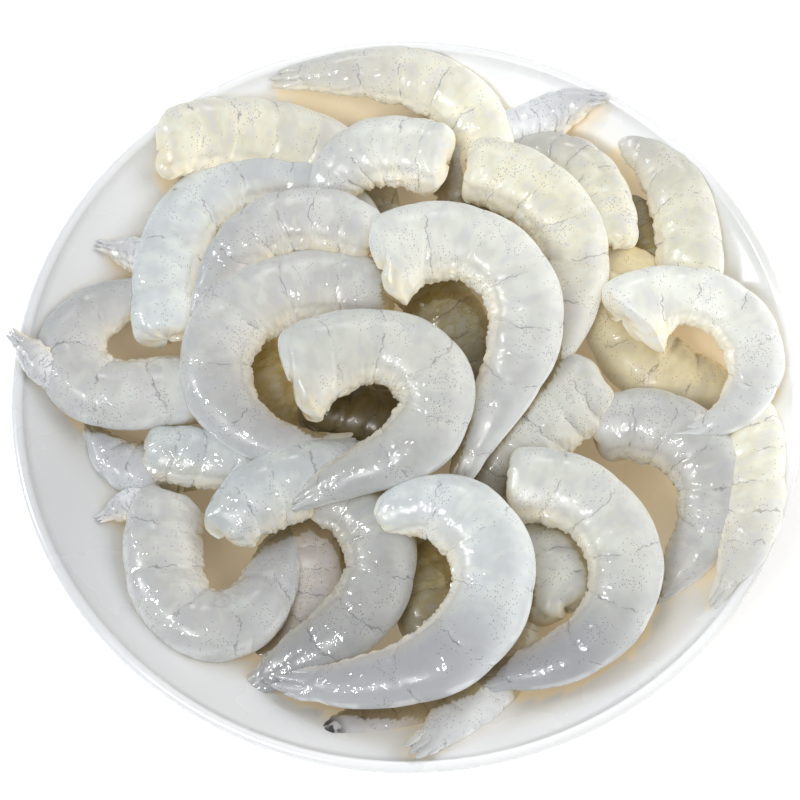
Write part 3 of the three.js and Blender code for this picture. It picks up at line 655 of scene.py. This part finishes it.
class Tree:
    """Short calls for wiring a material's nodes."""

    def __init__(self, name):
        self.material = bpy.data.materials.new(name)
        self.material.use_nodes = True
        self.nodes = self.material.node_tree.nodes
        self.links = self.material.node_tree.links
        self.shader = self.nodes["Principled BSDF"]

    def add(self, kind, **fields):
        node = self.nodes.new(kind)
        for key, value in fields.items():
            setattr(node, key, value)
        return node

    def wire(self, value, socket):
        if isinstance(value, (int, float, tuple)):
            socket.default_value = value
        else:
            self.links.new(value, socket)

    def attribute(self, name):
        return self.add("ShaderNodeAttribute", attribute_name=name).outputs["Fac"]

    def math(self, operation, a, b=0.0, clamp=False):
        node = self.add("ShaderNodeMath", operation=operation, use_clamp=clamp)
        self.wire(a, node.inputs[0])
        self.wire(b, node.inputs[1])
        return node.outputs[0]

    def smooth(self, value, low, high, to_low=0.0, to_high=1.0):
        node = self.add("ShaderNodeMapRange", interpolation_type="SMOOTHSTEP")
        self.wire(value, node.inputs["Value"])
        for key, number in zip(("From Min", "From Max", "To Min", "To Max"), (low, high, to_low, to_high)):
            node.inputs[key].default_value = number
        return node.outputs["Result"]

    def mix(self, factor, a, b, blend="MIX"):
        node = self.add("ShaderNodeMix", data_type="RGBA", blend_type=blend)
        self.wire(factor, node.inputs["Factor"])
        colours = [socket for socket in node.inputs if socket.type == "RGBA"]
        self.wire((*a, 1) if isinstance(a, tuple) and len(a) == 3 else a, colours[0])
        self.wire((*b, 1) if isinstance(b, tuple) and len(b) == 3 else b, colours[1])
        return [socket for socket in node.outputs if socket.type == "RGBA"][0]

    def stretched(self, vector, along, across):
        node = self.add("ShaderNodeVectorMath", operation="MULTIPLY")
        self.links.new(vector, node.inputs[0])
        node.inputs[1].default_value = (along, across, across)
        return node.outputs[0]

    def noise(self, scale, detail, roughness, vector):
        node = self.add("ShaderNodeTexNoise")
        node.inputs["Scale"].default_value = scale
        node.inputs["Detail"].default_value = detail
        node.inputs["Roughness"].default_value = roughness
        self.links.new(vector, node.inputs["Vector"])
        return node.outputs[0]

    def voronoi(self, scale, vector):
        """The distance to the middle of the nearest cell, and that cell's random number."""
        node = self.add("ShaderNodeTexVoronoi")
        node.inputs["Scale"].default_value = scale
        self.links.new(vector, node.inputs["Vector"])
        pick = self.add("ShaderNodeSeparateColor")
        self.links.new(node.outputs["Color"], pick.inputs[0])
        return node.outputs["Distance"], pick.outputs[0]

    def axes(self, vector):
        node = self.add("ShaderNodeSeparateXYZ")
        self.links.new(vector, node.inputs[0])
        return node.outputs

    def times(self, a, b):
        return self.math("MULTIPLY", a, b)

    def plus(self, a, b):
        return self.math("ADD", a, b)

    def bump(self, height, strength, distance, socket):
        node = self.add("ShaderNodeBump")
        node.inputs["Strength"].default_value = strength
        node.inputs["Distance"].default_value = distance
        self.links.new(height, node.inputs["Height"])
        self.links.new(node.outputs[0], self.shader.inputs[socket])

    def set(self, **constants):
        """Constants on the shader's own sockets, whose names are written with underscores for spaces."""
        for name, value in constants.items():
            self.shader.inputs[name.replace("_", " ")].default_value = value

    def glow(self, colour, strength):
        """The same colour on the surface and in its emission."""
        self.wire(colour, self.shader.inputs["Base Color"])
        self.wire(colour, self.shader.inputs["Emission Color"])
        self.wire(strength, self.shader.inputs["Emission Strength"])


# Features of the noises per metre
BLOTCH_SCALE = 110
CLUSTER_SCALE = 150
BORDER_WAVE_SCALE = 300
EDGE_SCALE = 420
GRAIN_SCALE = 700
SPECK_SCALE = 1900

# How far a border's dark line wanders, in millimetres, and how wide it is
BORDER_WANDER = 3.4
LINE_CORE, LINE_EDGE = 0.05, 0.26

LAVENDER_PATCH = (0.60, 0.61, 0.66)
GREENISH_PATCH = (0.78, 0.82, 0.76)
TAIL_GREY = (0.39, 0.39, 0.41)
BACK_BLUE = (0.62, 0.66, 0.68)
BELLY_CREAM = (0.80, 0.74, 0.60)
# painted highlight: the bright rim along the back's outer edge
PAINTED_RIM_HIGHLIGHT = (0.86, 0.88, 0.88)
CUT_OCHRE = (0.80, 0.69, 0.46)
LINE_DARK = (0.13, 0.12, 0.12)
SPECK_DARK = (0.10, 0.10, 0.11)
FAN_TIP_DARK = (0.06, 0.055, 0.06)
# painted shade colours, for light that has gone through some, then much flesh
PAINTED_SHADE_OCHRE = (0.90, 0.80, 0.58)
PAINTED_SHADE_BROWN = (0.52, 0.41, 0.22)


class Flesh(Tree):
    """A flesh material with the values that several of its parts read."""

    def __init__(self, tone):
        super().__init__("flesh_" + tone)
        self.base = FLESH[tone]
        self.place = self.add("ShaderNodeTexCoord").outputs["Object"]
        self.body = self.add("ShaderNodeAttribute", attribute_name="body").outputs["Vector"]
        self.blotch = self.noise(BLOTCH_SCALE, 2, 0.58, self.place)
        self.clusters = self.noise(CLUSTER_SCALE, 1, 0.5, self.place)
        self.mottle = self.noise(1, 2, 0.6, self.stretched(self.body, 0.3, 0.16))
        self.edge_noise = self.noise(EDGE_SCALE, 1, 0.6, self.place)
        self.round = self.attribute("round")
        self.border = self.attribute("border")
        self.shade = self.attribute("shade")
        self.glitter = self.attribute("glitter")


def skin_colour(flesh):
    """Clouded patches; the tail half greyer, the back bluer and clearer, the belly side creamier, and a
    painted highlight along the back's outer edge.
    """
    paler = tuple(min(1.0, c * 1.06 + 0.01) for c in flesh.base)
    greyer = tuple(c * 0.9 for c in flesh.base)
    colour = flesh.mix(flesh.smooth(flesh.blotch, 0.35, 0.65), greyer, paler)
    colour = flesh.mix(flesh.smooth(flesh.mottle, 0.46, 0.64, 0.0, 0.4), colour, LAVENDER_PATCH)
    colour = flesh.mix(flesh.smooth(flesh.mottle, 0.5, 0.36, 0.0, 0.4), colour, GREENISH_PATCH)
    colour = flesh.mix(flesh.attribute("tail"), colour, TAIL_GREY)
    colour = flesh.mix(flesh.smooth(flesh.round, 0.1, 1.0, 0.0, 0.3), colour, BACK_BLUE)
    colour = flesh.mix(flesh.smooth(flesh.round, -0.1, -1.0, 0.0, 0.3), colour, BELLY_CREAM)
    # painted highlight: a pale band along the back's outer edge, broken up in clusters
    painted_rim = flesh.smooth(flesh.round, 0.9, 0.99, 0.0, 0.5)
    return flesh.mix(flesh.times(painted_rim, flesh.smooth(flesh.clusters, 0.4, 0.6)), colour, PAINTED_RIM_HIGHLIGHT)


def cut_edges(flesh, colour):
    """Cream to ochre where the flesh was cut or torn, and along the belly edge."""
    torn = flesh.math("MAXIMUM", flesh.attribute("cut_end"), flesh.attribute("belly"))
    edge = flesh.times(flesh.smooth(flesh.edge_noise, 0.3, 0.62), torn)
    return flesh.mix(flesh.times(edge, 0.5), colour, CUT_OCHRE)


def border_lines(flesh, colour):
    """A fine dark line runs along stretches of each segment border."""
    wave = flesh.math("SUBTRACT", flesh.noise(BORDER_WAVE_SCALE, 2, 0.6, flesh.place), 0.5)
    warped = flesh.plus(flesh.border, flesh.times(wave, BORDER_WANDER))
    line = flesh.smooth(flesh.math("ABSOLUTE", warped), LINE_CORE, LINE_EDGE, 1.0, 0.0)
    stretch = flesh.smooth(flesh.mottle, 0.46, 0.58)
    return flesh.mix(flesh.times(flesh.times(line, stretch), 0.5), colour, LINE_DARK)


def dark_specks(flesh, colour):
    """Dark specks, crowded near the borders and in patches, and the dark tips of a tail fan."""
    distance, number = flesh.voronoi(SPECK_SCALE, flesh.place)
    near_border = flesh.smooth(flesh.math("ABSOLUTE", flesh.border), 0.3, 3.0, 0.35, 0.0)
    patches = flesh.smooth(flesh.blotch, 0.5, 0.66, 0.0, 1.7)
    crowd = flesh.times(flesh.plus(near_border, patches), flesh.attribute("specks"))
    chosen = flesh.math("LESS_THAN", number, crowd)
    dot = flesh.smooth(distance, 0.16, 0.42, 1.0, 0.0)
    colour = flesh.mix(flesh.times(flesh.times(dot, chosen), 0.6), colour, SPECK_DARK)
    tips = flesh.times(flesh.attribute("tips"), flesh.smooth(flesh.edge_noise, 0.35, 0.5))
    return flesh.mix(tips, colour, FAN_TIP_DARK)


def lit_colour(flesh, colour):
    """Each shrimp's brightness, partly its own tone and partly painted light and shade; painted shade, ochre
    then brown, stands for light that has gone through much flesh.
    """
    level = flesh.add("ShaderNodeCombineColor")
    for socket in level.inputs:
        if socket.type == "VALUE":
            flesh.wire(flesh.attribute("light"), socket)
    colour = flesh.mix(1.0, colour, level.outputs[0], "MULTIPLY")
    # painted shade: ochre, then brown, where much of the sky is hidden
    tint = flesh.mix(flesh.smooth(flesh.shade, 0.55, 0.95), PAINTED_SHADE_OCHRE, PAINTED_SHADE_BROWN)
    return flesh.mix(flesh.smooth(flesh.shade, 0.4, 0.95, 0.0, 0.95), colour, tint, "MULTIPLY")


def scattered_light(flesh):
    """Painted light: a glow for light scattered through the flesh and from piece to piece, and for light from
    the bright right.
    """
    scattered = flesh.smooth(flesh.shade, 0.0, 0.25, 0.12, 0.27)
    buried = flesh.smooth(flesh.shade, 0.4, 0.75, 0.0, 0.1)
    facing = flesh.axes(flesh.add("ShaderNodeNewGeometry").outputs["Normal"])
    from_right = flesh.smooth(facing[0], 0.05, 0.7, 0.0, 0.36)
    return flesh.math("SUBTRACT", flesh.plus(scattered, from_right), buried)


def wet_surface(flesh):
    """Wrinkles and grains break the highlights up; the film of water is thick in clusters, thin elsewhere."""
    wrinkles = flesh.times(flesh.noise(1, 0, 0.5, flesh.stretched(flesh.body, 0.34, 0.17)), 0.65)
    creases = flesh.noise(1, 0, 0.5, flesh.stretched(flesh.body, 0.75, 0.4))
    grains = flesh.noise(GRAIN_SCALE, 0, 0.5, flesh.place)
    cluster = flesh.smooth(flesh.clusters, 0.4, 0.52)
    lumpy = flesh.times(flesh.plus(flesh.glitter, 0.15), flesh.plus(cluster, 0.15))
    rough_part = flesh.plus(flesh.times(creases, 0.34), flesh.times(grains, 0.27))
    flesh.bump(flesh.plus(flesh.times(rough_part, lumpy), wrinkles), 1.0, 0.001, "Coat Normal")
    flesh.bump(wrinkles, 0.4, 0.0006, "Normal")
    wetness = flesh.math("POWER", flesh.times(flesh.glitter, 1.3), 2.0)
    film = flesh.times(flesh.smooth(flesh.clusters, 0.36, 0.5), wetness)
    flesh.wire(flesh.math("ADD", film, 0.06, clamp=True), flesh.shader.inputs["Coat Weight"])
    flesh.wire(flesh.smooth(flesh.blotch, 0.35, 0.65, 0.25, 0.4), flesh.shader.inputs["Roughness"])
    flesh.set(IOR=1.4, Specular_IOR_Level=0.3, Coat_Roughness=0.03, Coat_IOR=1.5)


def flesh_material(tone):
    flesh = Flesh(tone)
    colour = skin_colour(flesh)
    for part in (cut_edges, border_lines, dark_specks, lit_colour):
        colour = part(flesh, colour)
    flesh.glow(colour, scattered_light(flesh))
    wet_surface(flesh)
    return flesh.material


GLAZE_DARK, GLAZE_LIGHT = (0.80, 0.805, 0.82), (0.83, 0.835, 0.845)
PAINTED_SHADE_LEFT = (0.76, 0.765, 0.78)
PAINTED_SHADE_RIGHT_WALL = (0.80, 0.80, 0.79)
SHADED_GLAZE = (0.96, 0.92, 0.82)
ENCLOSED_SHADE_GLAZE = (0.92, 0.78, 0.56)
# How far in front of the middle the painted shade on the dish's left side is darkest, in metres
DARKEST_IN_FRONT = 0.025


def glaze_material():
    """White glaze, greyer on the left and darker in colour on the right wall as painted shade, lit from the
    right by a painted glow, ochre where shrimp shade it.
    """
    tree = Tree("glaze")
    place = tree.add("ShaderNodeTexCoord").outputs["Object"]
    x, y = tree.axes(place)[:2]
    across_y = tree.math("ABSOLUTE", y)
    colour = tree.mix(tree.smooth(tree.noise(25, 3, 0.5, place), 0.3, 0.7), GLAZE_DARK, GLAZE_LIGHT)
    behind_darkest = tree.plus(y, DARKEST_IN_FRONT)
    aside = tree.math("MAXIMUM", tree.times(behind_darkest, 0.5), tree.times(behind_darkest, -0.2))
    across = tree.plus(tree.times(x, 0.9), aside)
    # painted shade: the dish's left side greyer
    colour = tree.mix(tree.smooth(across, -0.095, 0.01, 1.0, 0.0), colour, PAINTED_SHADE_LEFT, "MULTIPLY")
    # painted shade: the right wall a little darker in colour, under its painted glow
    right_wall = tree.times(tree.smooth(x, 0.055, 0.085), tree.smooth(across_y, 0.075, 0.045))
    colour = tree.mix(right_wall, colour, PAINTED_SHADE_RIGHT_WALL, "MULTIPLY")
    shaded = tree.smooth(tree.attribute("shade"), 0.12, 0.4, 0.0, 0.6)
    colour = tree.mix(shaded, colour, SHADED_GLAZE, "MULTIPLY")
    # painted shade: ochre where shrimp close round the glaze
    colour = tree.mix(tree.attribute("enclosed"), colour, ENCLOSED_SHADE_GLAZE, "MULTIPLY")
    # painted light: a glow for light from the bright surroundings on the right, and for light that comes
    # through and between the shrimp
    right = tree.times(tree.smooth(x, 0.045, 0.09, 0.0, 0.36), tree.smooth(across_y, 0.015, 0.04, 1.0, 0.2))
    right = tree.times(right, tree.attribute("upper_face"))
    through = tree.times(tree.attribute("enclosed"), 0.24)
    tree.glow(colour, tree.plus(right, through))
    roughness = tree.smooth(tree.noise(60, 2, 0.5, place), 0.3, 0.7, 0.22, 0.3)
    tree.wire(roughness, tree.shader.inputs["Roughness"])
    tree.bump(tree.noise(45, 2, 0.5, place), 0.08, 0.0006, "Normal")
    tree.set(Coat_Weight=0.15, Coat_Roughness=0.05)
    return tree.material


materials = {tone: flesh_material(tone) for tone in FLESH}
for obj, row in zip(bodies, HEAP):
    obj.data.materials.clear()
    obj.data.materials.append(materials[row["tone"]])
    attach(obj, "root")
    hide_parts("shrimp_" + row["node"])

dish = lathe("dish_glazed", dish_outline(), 240)
dish_co = coordinates(dish.data)
hidden, closed = sky(dish_co)
bore_radius = np.minimum(np.hypot(dish_co[:, 0], dish_co[:, 1]), BORE_RADIUS)
upper_face = ramp(dish_co[:, 2] - dish_floor(bore_radius), -1.2, -0.4)
store(dish.data, "shade", hidden * upper_face)
store(dish.data, "enclosed", closed * upper_face)
store(dish.data, "upper_face", upper_face)
dish.data.shade_smooth()
dish.data.set_sharp_from_angle(angle=math.radians(40))
dish.data.materials.append(glaze_material())
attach(dish, "root")
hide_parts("dish")

# Floor, light
FLOOR_REACH = 5000
corners = [(x * FLOOR_REACH, y * FLOOR_REACH, 0) for x, y in ((-1, -1), (1, -1), (1, 1), (-1, 1))]
floor = mesh_object("floor", corners, [(0, 1, 2, 3)])
floor_tree = Tree("floor")
floor_noise = floor_tree.noise(3, 2, 0.5, floor_tree.add("ShaderNodeTexCoord").outputs["Object"])
paper = floor_tree.mix(floor_noise, (0.93, 0.93, 0.93), (0.95, 0.95, 0.95))
floor_tree.wire(paper, floor_tree.shader.inputs["Base Color"])
floor_tree.set(Roughness=0.9, Emission_Color=(1, 1, 1, 1), Emission_Strength=0.12)
floor.data.materials.append(floor_tree.material)


def area_light(name, place, size, power, mirrored, colour=(1, 1, 1), aim=(0, 0, 0.03)):
    """An area light that is either only seen as a highlight on wet surfaces or only lights the scene."""
    data = bpy.data.lights.new(name, "AREA")
    data.shape = "RECTANGLE"
    data.size, data.size_y = size
    data.energy = power
    data.color = colour
    light = bpy.data.objects.new(name, data)
    light.visible_glossy = mirrored
    light.visible_diffuse = not mirrored
    light.location = place
    light.rotation_euler = (Vector(aim) - Vector(place)).to_track_quat("-Z", "Y").to_euler()
    bpy.context.scene.collection.objects.link(light)


area_light("key", (-0.52, -0.6, 1.0), (0.45, 0.45), 5.2, False)
area_light("fill_left", (-0.95, 0.1, 0.7), (0.3, 0.3), 2.5, False, colour=(0.8, 0.93, 1.0))
area_light("fill_back", (-0.1, 1.0, 0.85), (0.3, 0.3), 1.3, False)
area_light("near_right", (0.5, 0.1, 0.4), (0.42, 0.42), 1.6, False,
           colour=(1.0, 0.97, 0.91), aim=(0.03, 0, 0.03))
area_light("window_front", (-0.45, -0.68, 1.0), (0.11, 0.25), 8.0, True)
area_light("window_front_left", (-0.64, -0.48, 1.0), (0.1, 0.25), 6.0, True)
area_light("window_left", (-1.0, 0.1, 0.55), (0.13, 0.32), 8.0, True)
area_light("window_back", (-0.1, 1.0, 0.85), (0.22, 0.1), 4.0, True)

world = bpy.data.worlds.new("studio")
bpy.context.scene.world = world
world.use_nodes = True
background = world.node_tree.nodes["Background"]
background.inputs["Color"].default_value = (1, 1, 1, 1)
background.inputs["Strength"].default_value = 0.6
bpy.context.scene.view_settings.view_transform = "Standard"

bpy.context.view_layer.update()
